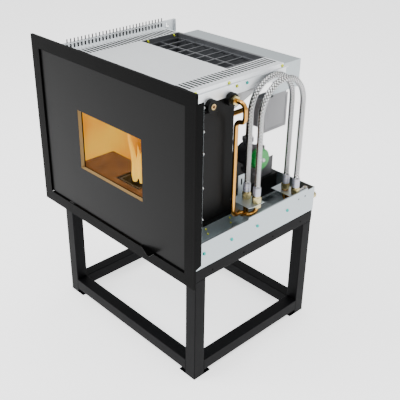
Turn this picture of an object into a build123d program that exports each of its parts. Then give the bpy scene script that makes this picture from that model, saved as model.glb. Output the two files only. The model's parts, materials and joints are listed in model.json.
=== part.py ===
from build123d import *
import math
import os

# Pellet boiler insert on a steel stand. Millimetres, X right, Y to the back, Z up.
# Depths are measured back from the surround's front face and moved to the
# middle of the part's depth when the nodes are written.

# Surround and front plate
surround_width = 800
surround_height = 620
surround_bottom = 417
surround_sheet = 2
border_side = 42
border_top = 42
border_bottom = 40
edge_return = 9
deep_return = 30
deep_return_low = 484
deep_return_high = 1008
front_plate_thickness = 3
front_plate_back = 30
front_plate_side_low = 494
front_plate_side_high = 985
front_plate_centre_width = 570
front_plate_top = 1012

# Door
door_gap = 4
door_gap_bottom = 4.5
door_recess = 6
glass_thickness = 4
door_depth = 19
door_sheet = 2
window_width = 324
window_height = 210
window_frame = 14
window_reveal = 14
pane_thickness = 4
pane_lap = 10
hinge_inset = 12
hinge_back = 7
pin_diameter = 5
pin_clearance = 0.05
hinge_length = 12
hinge_gap = 0.3
mouth_width = 410
mouth_height = 300
catch_left = 325
catch_width = 32
catch_thickness = 1.5

# Latch lever
lever_pivot_x = 165
lever_pivot_y = 18
lever_thickness = 2
lever_reach = 22
lever_tip_x = 211
lever_pin = 6
lever_hub = 8

# Stand
stand_width = 712
stand_depth = 573
stand_setback = 50
stand_height = 439
tube = 45
tube_wall = 2
tube_corner = 3
rail_lift = 16
foot_plate = 73
foot_thickness = 4
anchor_hole = 11

# Tray and telescopic rails
tray_sheet = 1.5
tray_depth = 576
tray_height = 90.5
tray_step_height = 7
tray_step_from = 235
tray_step_to = 538
tray_lip = 4
rail_height = 45
rail_length = 450
rail_front = 60
rail_width = 12
rail_sheet = 1.5
rail_gap = 0.3
rail_centre = 490

# Body: carriage, water jacket and top deck
body_half = 281
carriage_level = 464
carriage_sheet = 2
carriage_length = 478
carriage_tail_length = 92
carriage_tail_left = -245
carriage_tail_right = 215
carriage_web = 48
jacket_low = 523
jacket_height = 414
jacket_depth = 251
jacket_wall = 35
plate = 3
emboss = 4
emboss_from = 30
emboss_to = 206
emboss_margin = 30
emboss_radius = 55
hearth_height = 37
hearth_plate = 4
foot_sheet = 1.5
foot_flange = 15
foot_length = 253
deck_level = 990.5
deck_sheet = 1.5
deck_half = 286
deck_length = 463
deck_flange = 9.5
deck_flange_rear = 14
deck_flange_step = 260
slot_length = 50
slot_width = 6.8
slot_pitch = 14.8
slot_count = 29
slot_first = 36.3
slot_inset = 23.5
side_panel_top = 976
side_panel_length = 483
side_panel_ledge = 8
left_panel_top = 1016.5
left_panel_length = 515
left_panel_flange = 10

# Hopper, grid and feed
hopper_width = 415
hopper_from = 318
hopper_depth = 172
hopper_sheet = 1.5
hopper_rim = 10
hopper_straight = 88
hopper_bottom = 720
hopper_throat_width = 60
hopper_throat_depth = 50
hopper_throat_y = 450
grid_drop = 18
grid_bar = 4.5
grid_cross_bars = 8
auger_angle = 40
auger_start_y = 490
auger_start_z = 650
auger_tube_radius = 33
auger_tube_wall = 2.5
auger_tube_length = 230
auger_radius = 28.5
auger_shaft = 8
auger_pitch = 40
auger_flight = 3
chute_radius = 26
chute_wall = 2
chute_end_y = 212
motor_size = 72
motor_length = 78

# Fire side
pot_y = 132
pot_size = 118
pot_wall = 6
pot_height = 62
pot_drop = 24
pot_flange = 8
pot_hole = 6
pot_holes = 5
liner_thickness = 14
liner_rib = 6
liner_ribs = 13

# Smoke fan
fan_x = -182.5
fan_y = 400
fan_z = 625
fan_radius = 75
fan_width = 65
fan_wall = 3
fan_shaft = 4
fan_blades = 10
impeller_radius = 60
impeller_width = 40
flue_diameter = 80
flue_wall = 1.5
flue_end = 648
flue_socket = 60
duct_height = 70

# Rear cover, control box, shelf
cover_half = 247
cover_top = 967
cover_height = 95
cover_length = 138.5
cover_sheet = 1.5
box_low = 744
box_high = 863
box_left = 182
box_from = 466
box_length = 111
box_flange = 8
shelf_top = 540
shelf_left = -240
shelf_right = 205
shelf_from = 300
shelf_length = 300
shelf_sheet = 1.5

# Pump
pump_y = 495
pump_z = 628
pump_x = 150
pump_head_face = 222
pump_head_radius = 38
pump_housing = 78
pump_volute = 40
pump_port = 130

# Hoses, copper and brass
hose_x = 293
hose_spacing = 44
hose_radius = 9.5
hose_front_y = 339
hose_rear_y = 541
hose_front_plate = 566
hose_rear_plate = 525
hose_rise = 862
ferrule_radius = 12.5
nut_flats = 26
pipe_radius = 7.5
pump_pipe_radius = 9
port_y = (172, 257)
port_z = 929
port_radius = 21
port_length = 15
bend = 14
loop_bend = 21

# Values worked out from the sizes above
surround_top = surround_bottom + surround_height
half_width = surround_width / 2
opening_half = half_width - border_side
opening_low = surround_bottom + border_bottom
opening_high = surround_top - border_top
door_half = opening_half - door_gap
door_low = opening_low + door_gap_bottom
door_high = opening_high - door_gap
door_mid = (door_low + door_high) / 2
glass_back = door_recess + glass_thickness
door_back = door_recess + door_depth
front_plate_front = front_plate_back - front_plate_thickness
stand_back = stand_setback + stand_depth
tray_half = stand_width / 2
tray_inner = tray_half - tray_sheet
tray_back = stand_setback + tray_depth
jacket_top_z = jacket_low + jacket_height
jacket_back_y = front_plate_back + jacket_depth
chamber_half = body_half - jacket_wall
hearth_top = jacket_low + hearth_height
hopper_back = hopper_from + hopper_depth
deck_under = deck_level - deck_sheet
pipe_end = stand_back + 27
depth_front = -lever_reach
depth_back = pipe_end
middle = (depth_front + depth_back) / 2

nodes = {}


def block(x0, x1, y0, y1, z0, z1):
    """A box between two corners."""
    size = Box(abs(x1 - x0), abs(y1 - y0), abs(z1 - z0))
    return Pos((x0 + x1) / 2, (y0 + y1) / 2, (z0 + z1) / 2) * size


def rod(start, end, radius):
    """A round bar from one point to another."""
    axis = Vector(*end) - Vector(*start)
    plane = Plane(origin=start, z_dir=axis)
    return extrude(plane * Circle(radius), axis.length)


def ring_x(x0, x1, y, z, outer, inner):
    """A tube along X."""
    return rod((x0, y, z), (x1, y, z), outer) - rod((x0, y, z), (x1, y, z), inner)


def nut(x, y, z0, z1, flats=nut_flats, bore=0):
    """A hexagon nut standing along Z."""
    outline = Rot(0, 0, 30) * RegularPolygon(flats / 2, 6, major_radius=False)
    body = Pos(x, y, z0) * extrude(outline, z1 - z0)
    if bore:
        body -= rod((x, y, z0), (x, y, z1), bore)
    return body


def bent_pipe(points, radius, bend_radius):
    """A round pipe along straight runs joined by tangent arcs."""
    path = FilletPolyline(*points, radius=bend_radius)
    section = Plane(origin=path @ 0, z_dir=path % 0) * Circle(radius)
    return sweep(section, path=path)


def sheet_yz(points, x0, x1):
    """A flat sheet outlined in Y and Z."""
    face = Plane.YZ * make_face(Polyline(*points, close=True))
    return Pos(min(x0, x1), 0, 0) * extrude(face, abs(x1 - x0), dir=(1, 0, 0))


def sheet_xy(points, z0, z1):
    """A flat sheet outlined in X and Y."""
    face = make_face(Polyline(*points, close=True))
    return Pos(0, 0, z0) * extrude(face, z1 - z0)


def mirrored(shape):
    """The same piece on the other side of the middle."""
    return mirror(shape, about=Plane.YZ)


def add(name, shape):
    """Keep a piece under its node name, placed in the part's own frame."""
    nodes[name] = Pos(0, -middle, 0) * shape


def square_tube(length):
    """A standard square tube along Z from the origin."""
    outer = RectangleRounded(tube, tube, tube_corner)
    inner = RectangleRounded(tube - 2 * tube_wall, tube - 2 * tube_wall, tube_corner - tube_wall / 2)
    return extrude(outer - inner, length)


def tube_along_y(x, z, y0, y1):
    return Pos(x, y1, z) * Rot(90, 0, 0) * square_tube(y1 - y0)


def tube_along_x(y, z, x0, x1):
    return Pos(x0, y, z) * Rot(0, 90, 0) * square_tube(x1 - x0)


def leg(sx, sy):
    """A leg under the top frame, with its foot plate flush at the outer corner."""
    x = sx * (stand_width - tube) / 2
    y = stand_setback + stand_depth / 2 + sy * (stand_depth - tube) / 2
    shift = (foot_plate - tube) / 2
    plate_x = x - sx * shift
    plate_y = y - sy * shift
    column = Pos(x, y, foot_thickness) * square_tube(stand_height - tube - foot_thickness)
    foot = Pos(plate_x, plate_y, foot_thickness / 2) * Box(foot_plate, foot_plate, foot_thickness)
    away = tube / 2 + shift
    hole_x = x - sx * away
    hole_y = y - sy * away
    foot -= rod((hole_x, hole_y, 0), (hole_x, hole_y, foot_thickness), anchor_hole / 2)
    return column + foot


def stand():
    """Four legs, the top frame lying on them and the lower rails between them."""
    corners = {"front_left": (-1, -1), "front_right": (1, -1), "rear_left": (-1, 1), "rear_right": (1, 1)}
    for place, signs in corners.items():
        add("stand_leg_" + place, leg(*signs))
    side_x = (stand_width - tube) / 2
    cross_y = (stand_setback + tube / 2, stand_back - tube / 2)
    inner = side_x - tube / 2
    top = stand_height - tube / 2
    low = rail_lift + tube / 2
    long_rails = [tube_along_y(sx * side_x, top, stand_setback, stand_back) for sx in (-1, 1)]
    add("stand_top_rails_side", Part(children=long_rails))
    cross_rails = [tube_along_x(y, top, -inner, inner) for y in cross_y]
    add("stand_top_rails_cross", Part(children=cross_rails))
    short = (stand_setback + tube, stand_back - tube)
    low_rails = [tube_along_y(sx * side_x, low, *short) for sx in (-1, 1)]
    low_rails += [tube_along_x(y, low, -inner, inner) for y in cross_y]
    add("stand_low_rails", Part(children=low_rails))


def tray():
    """The fixed zinc tray: floor with rear wall, and two stepped side panels."""
    low = stand_height
    high = low + tray_height
    floor = block(-tray_inner, tray_inner, stand_setback, tray_back, low, low + tray_sheet)
    wall = block(-tray_inner, tray_inner, tray_back - tray_sheet, tray_back, low, high)
    for x in (hose_x, hose_x + hose_spacing):
        wall -= rod((x, tray_back - 20, pipe_level), (x, tray_back + 20, pipe_level), pump_pipe_radius + 1)
    add("tray_floor", floor + wall)
    step_a = stand_setback + tray_step_from
    step_b = stand_setback + tray_step_to
    crest = high + tray_step_height
    outline = [
        (stand_setback, low),
        (tray_back, low),
        (tray_back, high),
        (step_b, high),
        (step_b, crest),
        (step_a, crest),
        (step_a, high),
        (stand_setback, high),
    ]
    side = sheet_yz(outline, tray_inner, tray_half)
    side += block(tray_inner - tray_lip, tray_inner, stand_setback, step_a, high - tray_sheet, high)
    side += block(tray_inner - tray_lip, tray_inner, step_a, step_b, crest - tray_sheet, crest)
    add("tray_sides", Part(children=[side, mirrored(side)]))


def channel(x_back, x_open, height, sheet, y0, y1):
    """A rail channel with its back at x_back and its flanges reaching to x_open."""
    low = rail_centre - height / 2
    high = rail_centre + height / 2
    back = block(x_back, x_back + math.copysign(sheet, x_open - x_back), y0, y1, low, high)
    lower = block(x_back, x_open, y0, y1, low, low + sheet)
    upper = block(x_back, x_open, y0, y1, high - sheet, high)
    return back + lower + upper


def rails():
    """Full extension slides: fixed channel, middle channel and inner channel."""
    y0 = rail_front
    y1 = rail_front + rail_length
    fixed = channel(tray_inner, tray_inner - rail_width, rail_height, rail_sheet, y0, y1)
    add("rail_fixed", Part(children=[fixed, mirrored(fixed)]))
    mid_back = tray_inner - rail_sheet - rail_gap
    mid_height = rail_height - 2 * rail_sheet - 2 * rail_gap
    mid = channel(mid_back, tray_inner - rail_width + 1, mid_height, rail_sheet, y0, y1)
    add("rail_middle_right", mid)
    add("rail_middle_left", mirrored(mid))
    inner_height = mid_height - 2 * rail_sheet - 2 * rail_gap
    inner = channel(web_outer, mid_back - rail_sheet - rail_gap, inner_height, rail_sheet, y0, y1)
    add("rail_inner", Part(children=[inner, mirrored(inner)]))


def carriage():
    """The sliding base of the body, with side webs on the inner rails."""
    y0 = front_plate_back
    y1 = y0 + carriage_length
    y2 = y1 + carriage_tail_length
    low = carriage_level
    high = low + carriage_sheet
    outline = [
        (-web_outer, y0),
        (web_outer, y0),
        (web_outer, y1),
        (carriage_tail_right, y1),
        (carriage_tail_right, y2),
        (carriage_tail_left, y2),
        (carriage_tail_left, y1),
        (-web_outer, y1),
    ]
    base = sheet_xy(outline, low, high)
    web = block(web_outer - carriage_sheet, web_outer, rail_front, y1, high, low + carriage_web)
    apron = block(-body_half, body_half, y0, y0 + carriage_sheet, high, low + carriage_web)
    add("carriage", base + web + mirrored(web) + apron)


def jacket_feet():
    """Z profiles that carry the water jacket on the carriage."""
    low = carriage_level + carriage_sheet
    y0 = front_plate_back + 5
    y1 = y0 + foot_length
    outer = body_half
    web = block(outer - foot_sheet, outer, y0, y1, low, jacket_low)
    toe = block(outer, outer + foot_flange, y0, y1, low, low + foot_sheet)
    seat = block(outer - foot_sheet - foot_flange, outer - foot_sheet, y0, y1, jacket_low - foot_sheet, jacket_low)
    foot = web + toe + seat
    add("jacket_feet", Part(children=[foot, mirrored(foot)]))


def surround():
    """Four folded strips: the top and bottom ones run the full width."""
    s = surround_sheet
    w = half_width
    top = block(-w, w, 0, s, opening_high, surround_top)
    top += block(-w, w, s, edge_return, surround_top - s, surround_top)
    top += block(-opening_half, opening_half, s, front_plate_front, opening_high, opening_high + s)
    for sx in (-1, 1):
        top += block(sx * (w - s), sx * w, s, edge_return, opening_high, surround_top - s)
    add("surround_top", top)
    bottom = block(-w, w, 0, s, surround_bottom, opening_low)
    bottom += block(-w, w, s, edge_return, surround_bottom, surround_bottom + s)
    reach = front_plate_centre_width / 2
    bottom += block(-reach, reach, edge_return, front_plate_front, surround_bottom, surround_bottom + s)
    for sx in (-1, 1):
        bottom += block(sx * (w - s), sx * w, s, edge_return, surround_bottom + s, opening_low)
    add("surround_bottom", bottom)
    side = block(opening_half, w, 0, s, opening_low, opening_high)
    outline = [
        (s, opening_low),
        (edge_return, opening_low),
        (edge_return, deep_return_low),
        (deep_return, deep_return_low + 8),
        (deep_return, deep_return_high),
        (edge_return, deep_return_high),
        (edge_return, opening_high),
        (s, opening_high),
    ]
    side += sheet_yz(outline, w - s, w)
    side += block(opening_half, opening_half + s, s, front_plate_front, opening_low, opening_high)
    add("surround_right", side)
    add("surround_left", mirrored(side))


def hinge_tab(z0, z1, pin_low, pin_high, root):
    """A fixed hinge arm with its pin, folded from an ear of the front plate."""
    x0 = hinge_x - pin_radius
    x1 = hinge_x + hinge_length
    arm = block(x0, x1, hinge_y, front_plate_front, z0, z1)
    arm += block(x0, x1, front_plate_front, front_plate_back, min(z0, root), max(z1, root))
    arm += rod((hinge_x, hinge_y, z0), (hinge_x, hinge_y, z1), pin_radius)
    return arm + rod((hinge_x, hinge_y, pin_low), (hinge_x, hinge_y, pin_high), pin_radius)


def front_plate():
    """The steel front of the body: fire mouth, hinge arms, pins and top catch."""
    y0 = front_plate_front
    y1 = front_plate_back
    wide = half_width - surround_sheet
    centre = front_plate_centre_width / 2
    sheet = block(-wide, wide, y0, y1, front_plate_side_low, front_plate_side_high)
    sheet += block(-centre, centre, y0, y1, surround_bottom, front_plate_top)
    sheet += block(-opening_half, opening_half, y0, y1, opening_low, opening_high)
    half = mouth_width / 2
    sheet -= block(-half, half, y0 - 1, y1 + 1, door_mid - mouth_height / 2, door_mid + mouth_height / 2)
    arm = hinge_gap + plate
    sheet += hinge_tab(rim_high + hinge_gap, rim_high + arm, rim_high - hinge_length, rim_high + hinge_gap, front_plate_side_high)
    sheet += hinge_tab(rim_low - arm, rim_low - hinge_gap, rim_low - hinge_gap, rim_low + hinge_length, front_plate_side_low)
    catch_low = door_high + (door_gap - catch_thickness) / 2
    catch = block(catch_left, catch_left + catch_width, door_recess, y0, catch_low, catch_low + catch_thickness)
    catch += block(catch_left, catch_left + catch_width, y0, y1, front_plate_side_high, catch_low + catch_thickness)
    add("front_plate", sheet + catch)


def door():
    """Black glass door: front panel, steel frame with the window tunnel, and the pane."""
    hw = window_width / 2
    hh = window_height / 2
    window = block(-hw, hw, door_recess - 1, door_back + 1, door_mid - hh, door_mid + hh)
    panel = block(-door_half, door_half, door_recess, glass_back, door_low, door_high)
    add("door_panel", panel - window)

    pane_front = door_recess + window_reveal
    pane_back = pane_front + pane_thickness
    edge = door_half - door_gap
    shell = block(-edge, edge, glass_back, door_back, rim_low, rim_high)
    inside = block(-edge + door_sheet, edge - door_sheet, glass_back + door_sheet, door_back + 1, 0, 2000)
    inside &= block(-edge, edge, 0, 100, rim_low + door_sheet, rim_high - door_sheet)
    tunnel_w = hw + window_frame
    tunnel_h = hh + window_frame
    tunnel = block(-tunnel_w, tunnel_w, glass_back, door_back, door_mid - tunnel_h, door_mid + tunnel_h)
    blocks = [tunnel]
    for z0, z1 in ((rim_high - hinge_length, rim_high), (rim_low, rim_low + hinge_length)):
        blocks.append(block(-edge, hinge_x + hinge_length, glass_back, door_back - 2, z0, z1))
    blocks.append(block(lever_pivot_x - 9, lever_pivot_x + 9, glass_back, door_back, rim_low, rim_low + 8))
    frame = shell - inside
    for solid in blocks:
        frame += solid
    pane_space = block(
        -hw - pane_lap, hw + pane_lap, pane_front, pane_back, door_mid - hh - pane_lap, door_mid + hh + pane_lap
    )
    frame -= window
    frame -= pane_space
    bore = pin_radius + pin_clearance
    depth = hinge_length + 0.5
    for z0, z1 in ((rim_high - depth, rim_high + 1), (rim_low - 1, rim_low + depth)):
        frame -= rod((hinge_x, hinge_y, z0), (hinge_x, hinge_y, z1), bore)
    frame += rod((lever_pivot_x, lever_pivot_y, lever_low - 0.2), (lever_pivot_x, lever_pivot_y, rim_low), lever_pin / 2)
    frame += rod((lever_pivot_x, lever_pivot_y, lever_low - 1.2), (lever_pivot_x, lever_pivot_y, lever_low - 0.2), lever_pin / 2 + 2)
    add("door_frame", frame)
    add("door_window", pane_space)


def latch_lever():
    """A flat lever in the gap under the door; its tip stands out in front."""
    y = lever_pivot_y
    x = lever_pivot_x
    outline = [
        (x - lever_hub, y),
        (lever_tip_x - 59, 1),
        (lever_tip_x, -lever_reach),
        (lever_tip_x + 6, -lever_reach + 4),
        (lever_tip_x + 7, 2),
        (lever_tip_x + 2, 11),
        (x + lever_hub, y),
    ]
    plate_shape = sheet_xy(outline, lever_low, lever_low + lever_thickness)
    plate_shape += rod((x, y, lever_low), (x, y, lever_low + lever_thickness), lever_hub)
    bore = lever_pin / 2 + pin_clearance
    plate_shape -= rod((x, y, lever_low - 1), (x, y, lever_low + lever_thickness + 1), bore)
    add("latch_lever", plate_shape)


def jacket_side():
    """One double-walled side of the boiler with its pressed panel."""
    y0 = front_plate_back
    y1 = jacket_back_y
    outer = block(chamber_half, body_half - emboss, y0, y1, jacket_low, jacket_top_z)
    cavity = block(
        chamber_half + plate, body_half - emboss - plate, y0 + plate, y1 - plate, jacket_low + plate, jacket_top_z - plate
    )
    low = jacket_low + emboss_margin
    high = jacket_top_z - emboss_margin
    pressed = sheet_yz([(y0, low), (y0 + emboss_to, low), (y0 + emboss_to, high), (y0, high)], body_half - emboss, body_half)
    corners = pressed.edges().filter_by(Axis.X).group_by(Axis.Y)[-1]
    pressed = fillet(corners, emboss_radius)
    border = block(body_half - emboss, body_half, y0, y1, jacket_low, low - emboss_margin / 2)
    return outer - cavity + pressed + border


def jacket():
    """The welded water jacket round the fire chamber."""
    y0 = front_plate_back
    y1 = jacket_back_y
    right = jacket_side()
    for y in port_y:
        right += rod((body_half - emboss, y, port_z), (body_half + port_length, y, port_z), port_radius)
        right -= rod((body_half - emboss + 2, y, port_z), (body_half + port_length + 1, y, port_z), 9)
    add("jacket_right", right)
    add("jacket_left", mirrored(jacket_side()))
    low = jacket_top_z - jacket_wall
    half = chamber_half
    top = block(-half, half, y0, y1, low, jacket_top_z)
    top -= block(-half + plate, half - plate, y0 + plate, y1 - plate, low + plate, jacket_top_z - plate)
    add("jacket_top", top)
    back_y = y1 - jacket_wall
    back = block(-half, half, back_y, y1, jacket_low, low)
    back -= block(-half + plate, half - plate, back_y + plate, y1 - plate, jacket_low + plate, low - plate)
    back -= chute_outer(chute_radius + 0.3)
    smoke = block(smoke_x0, smoke_x1, back_y - 1, y1 + 1, smoke_z0, smoke_z1)
    back += block(smoke_x0 - plate, smoke_x1 + plate, back_y, y1, smoke_z0 - plate, smoke_z1 + plate)
    add("jacket_back", back - smoke)


def firebox_base():
    """The ash box under the hearth, with the seat for the burn pot."""
    half = chamber_half
    y0 = front_plate_back
    y1 = jacket_back_y - jacket_wall
    shell = block(-half, half, y0, y1, jacket_low, hearth_top)
    shell -= block(-half + plate, half - plate, y0 + plate, y1 - plate, jacket_low + plate, hearth_top - hearth_plate)
    side = pot_size / 2 - pot_flange
    hole = block(-side - 1, side + 1, pot_y - side - 1, pot_y + side + 1, hearth_top - hearth_plate - 1, hearth_top + 1)
    add("firebox_base", shell - hole)


def burn_pot():
    """A cast pot with air holes, hanging in the hearth by its flange."""
    side = pot_size / 2
    body = side - pot_flange
    low = hearth_top - pot_drop
    high = hearth_top + pot_height - pot_drop
    pot = block(-body, body, pot_y - body, pot_y + body, low, high)
    pot += block(-side, side, pot_y - side, pot_y + side, hearth_top, hearth_top + 4)
    inner = body - pot_wall
    pot -= block(-inner, inner, pot_y - inner, pot_y + inner, low + pot_wall, high + 1)
    step = 2 * inner / (pot_holes + 1)
    for i in range(pot_holes):
        x = -inner + step * (i + 1)
        for z in (hearth_top + 12, hearth_top + 24):
            pot -= rod((x, pot_y - side, z), (x, pot_y + side, z), pot_hole / 2)
    add("burn_pot", pot)


def firebox_liner():
    """The ribbed cast plate at the back of the fire chamber."""
    half = chamber_half - 6
    y1 = jacket_back_y - jacket_wall
    y0 = y1 - liner_thickness + liner_rib
    low = hearth_top
    high = low + 322
    liner = block(-half, half, y0, y1, low, high)
    step = 2 * half / liner_ribs
    for i in range(liner_ribs):
        x = -half + step * (i + 0.5)
        liner += block(x - step / 4, x + step / 4, y0 - liner_rib, y0, low, high)
    liner -= chute_outer(chute_radius + 0.3)
    liner -= block(smoke_x0, smoke_x1, y0 - 20, y1 + 1, smoke_z0, smoke_z1)
    add("firebox_liner", liner)


def vent_strip():
    """The slotted side of the top deck, to the right of the hopper."""
    y0 = front_plate_back
    y1 = y0 + deck_length
    x0 = hopper_width / 2
    strip = block(x0, deck_half, y0, y1, deck_under, deck_level)
    slot_x1 = deck_half - slot_inset
    first = y0 + slot_first
    cutters = []
    for i in range(slot_count):
        y = first + i * slot_pitch
        cutters.append(block(slot_x1 - slot_length, slot_x1, y - slot_width / 2, y + slot_width / 2, 0, 2000))
    return strip - Part(children=cutters)


def deck():
    """The zinc top: front sheet, two slotted strips and the folded right edge."""
    half = hopper_width / 2
    y0 = front_plate_back
    add("deck_front", block(-half, half, y0, hopper_from, deck_under, deck_level))
    right = vent_strip()
    outer = deck_half
    step = y0 + deck_flange_step
    edge = outer - deck_sheet
    right += block(edge, outer, y0, step, deck_level - deck_flange, deck_under)
    right += block(edge, outer, step, y0 + deck_length, deck_level - deck_flange_rear, deck_under)
    add("vent_strip_right", right)
    add("vent_strip_left", mirrored(vent_strip()))


def side_panel_right():
    """The panel between the jacket and the deck, with its folded ledge."""
    y0 = front_plate_back
    y1 = y0 + side_panel_length
    s = deck_sheet
    panel = block(body_half - s, body_half, y0, y1, jacket_top_z, side_panel_top)
    panel += block(body_half, body_half + side_panel_ledge, y0, y1, side_panel_top - s, side_panel_top)
    stand_x = deck_half - deck_sheet
    panel += block(stand_x - s, stand_x, y0, y0 + deck_length, side_panel_top, deck_under)
    for y in port_y:
        panel -= rod((body_half - 5, y, port_z), (body_half + 5, y, port_z), port_radius + 0.5)
    add("side_panel_right", panel)


def side_panel_left():
    """The tall left panel: it stands above the deck and has a notch near its back."""
    y0 = front_plate_back
    y1 = y0 + left_panel_length
    s = deck_sheet
    x = -deck_half
    outline = [(y0, jacket_top_z), (y1, jacket_top_z), (y1, left_panel_top), (y0, left_panel_top)]
    panel = sheet_yz(outline, x - s, x)
    panel += block(x, x + left_panel_flange, y1 - s, y1, jacket_top_z + 33, left_panel_top)
    panel += block(x, -chamber_half, y0, jacket_back_y, jacket_top_z, jacket_top_z + s)
    panel -= block(x - 5, x + 1, y1 - 40, y1 - 36, 991, 1006)
    panel -= block(x - 5, x + 1, y1 - 36, y1 - 27, 991, 995)
    add("side_panel_left", panel)


def box_loft(size_a, z_a, size_b, z_b, y_a, y_b):
    """A ruled transition between two level rectangles."""
    low = Pos(0, y_b, z_b) * Rectangle(*size_b)
    high = Pos(0, y_a, z_a) * Rectangle(*size_a)
    return loft([low, high], ruled=True)


def hopper_solid(grow, top, bottom):
    """The hopper's filled shape: straight sides, funnel and spout, grown by the sheet."""
    wide = hopper_width + 2 * grow
    deep = hopper_depth + 2 * grow
    neck = (hopper_throat_width + 2 * grow, hopper_throat_depth + 2 * grow)
    y_mid = hopper_from + hopper_depth / 2
    shoulder = deck_under - hopper_straight
    body = Pos(0, y_mid, (shoulder + top) / 2) * Box(wide, deep, top - shoulder)
    body += box_loft((wide, deep), shoulder, neck, hopper_bottom, y_mid, hopper_throat_y)
    body += Pos(0, hopper_throat_y, (hopper_bottom + bottom) / 2) * Box(neck[0], neck[1], hopper_bottom - bottom)
    return body


def hopper():
    """The pellet hopper under the deck, its spout ending on the auger tube."""
    s = hopper_sheet
    y_mid = hopper_from + hopper_depth / 2
    bottom = auger_start_z
    outer = hopper_solid(s, deck_under, bottom)
    rim_x = hopper_width + 2 * hopper_rim
    rim_y = hopper_depth + 2 * hopper_rim
    outer += Pos(0, y_mid, deck_under - s / 2) * Box(rim_x, rim_y, s)
    body = outer - hopper_solid(0, deck_under + 1, bottom - 1)
    body -= auger_cylinder(auger_tube_radius, -5, auger_tube_length + 5)
    keep = body.solids().sort_by(SortBy.VOLUME)[-1]
    add("hopper", keep)


def hopper_grid():
    """The safety grid: one long bar and cross bars inside a frame of flats."""
    z = deck_level - grid_drop
    b = grid_bar
    x = hopper_width / 2
    y0 = hopper_from
    y1 = hopper_back
    y_mid = (y0 + y1) / 2
    grid = block(-x, x, y0, y0 + b, z - b, z) + block(-x, x, y1 - b, y1, z - b, z)
    grid += block(-x, x, y_mid - b / 2, y_mid + b / 2, z - b, z)
    step = hopper_width / (grid_cross_bars + 1)
    for i in range(grid_cross_bars):
        cx = -x + step * (i + 1)
        grid += block(cx - b / 2, cx + b / 2, y0 + b, y1 - b, z - b, z)
    for sx in (-1, 1):
        grid += block(sx * x, sx * (x - b), y0 + b, y1 - b, z - b, z)
    add("hopper_grid", grid)


def auger_point(along):
    """A point on the auger's axis, from its lower end."""
    angle = math.radians(auger_angle)
    return (0, auger_start_y - along * math.cos(angle), auger_start_z + along * math.sin(angle))


def auger_cylinder(radius, start, end):
    return rod(auger_point(start), auger_point(end), radius)


def chute_outer(radius):
    """The drop chute from the auger's upper end into the fire chamber."""
    top = auger_point(auger_tube_length - 24)
    fall = top[1] - chute_end_y
    return rod(top, (0, chute_end_y, top[2] - fall), radius)


def feed():
    """Auger tube with its drop chute, the screw and the gear motor."""
    wall = auger_tube_wall
    outer = auger_cylinder(auger_tube_radius, 0, auger_tube_length) + chute_outer(chute_radius)
    inner = auger_cylinder(auger_tube_radius - wall, wall, auger_tube_length - wall)
    inner += chute_outer(chute_radius - chute_wall)
    spout = Pos(0, hopper_throat_y, auger_start_z + 90)
    inlet = spout * Box(hopper_throat_width - 14, hopper_throat_depth - 14, 160)
    inlet &= auger_cylinder(auger_tube_radius + 30, 0, auger_tube_length)
    inlet -= lower_half()
    tube_shape = outer - inner - inlet
    tube_shape -= auger_cylinder(auger_shaft + 0.1, -5, wall + 5)
    add("auger_tube", tube_shape)
    length = auger_tube_length - 2 * wall - 8
    turns = (length - 16) / auger_pitch
    path = Helix(pitch=auger_pitch, height=auger_pitch * turns, radius=(auger_shaft + auger_radius) / 2)
    section = Plane(origin=path @ 0, x_dir=(1, 0, 0), z_dir=path % 0)
    flight = sweep(section * Rectangle(auger_radius - auger_shaft + 1.5, auger_flight), path=path, is_frenet=True)
    shaft = Pos(0, 0, -motor_socket - 12) * extrude(Circle(auger_shaft), length + motor_socket + 4)
    screw = shaft + flight
    axis = Vector(*auger_point(1)) - Vector(*auger_point(0))
    seat = Plane(origin=auger_point(wall + 12), z_dir=axis)
    add("auger", seat.location * screw)
    gear_plane = Plane(origin=auger_point(0), x_dir=(1, 0, 0), z_dir=axis * -1)
    gear = gear_plane * extrude(RectangleRounded(motor_size, motor_size, 6), motor_length * 0.45)
    can = Plane(origin=auger_point(-motor_length * 0.45), z_dir=axis * -1)
    gear += can * extrude(Circle(motor_size * 0.38), motor_length * 0.55)
    gear -= auger_cylinder(auger_shaft + pin_clearance, -motor_socket - 1, 1)
    add("gear_motor", gear)


def lower_half():
    """The space below the auger's axis, used to cut the inlet only through the upper wall."""
    axis = Vector(*auger_point(1)) - Vector(*auger_point(0))
    up = Vector(0, math.sin(math.radians(auger_angle)), math.cos(math.radians(auger_angle)))
    centre = Vector(*auger_point(60)) - up * 100
    plane = Plane(origin=centre, x_dir=(1, 0, 0), z_dir=up)
    return plane.location * Box(200, 400, 200, align=(Align.CENTER, Align.CENTER, Align.CENTER))


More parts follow.
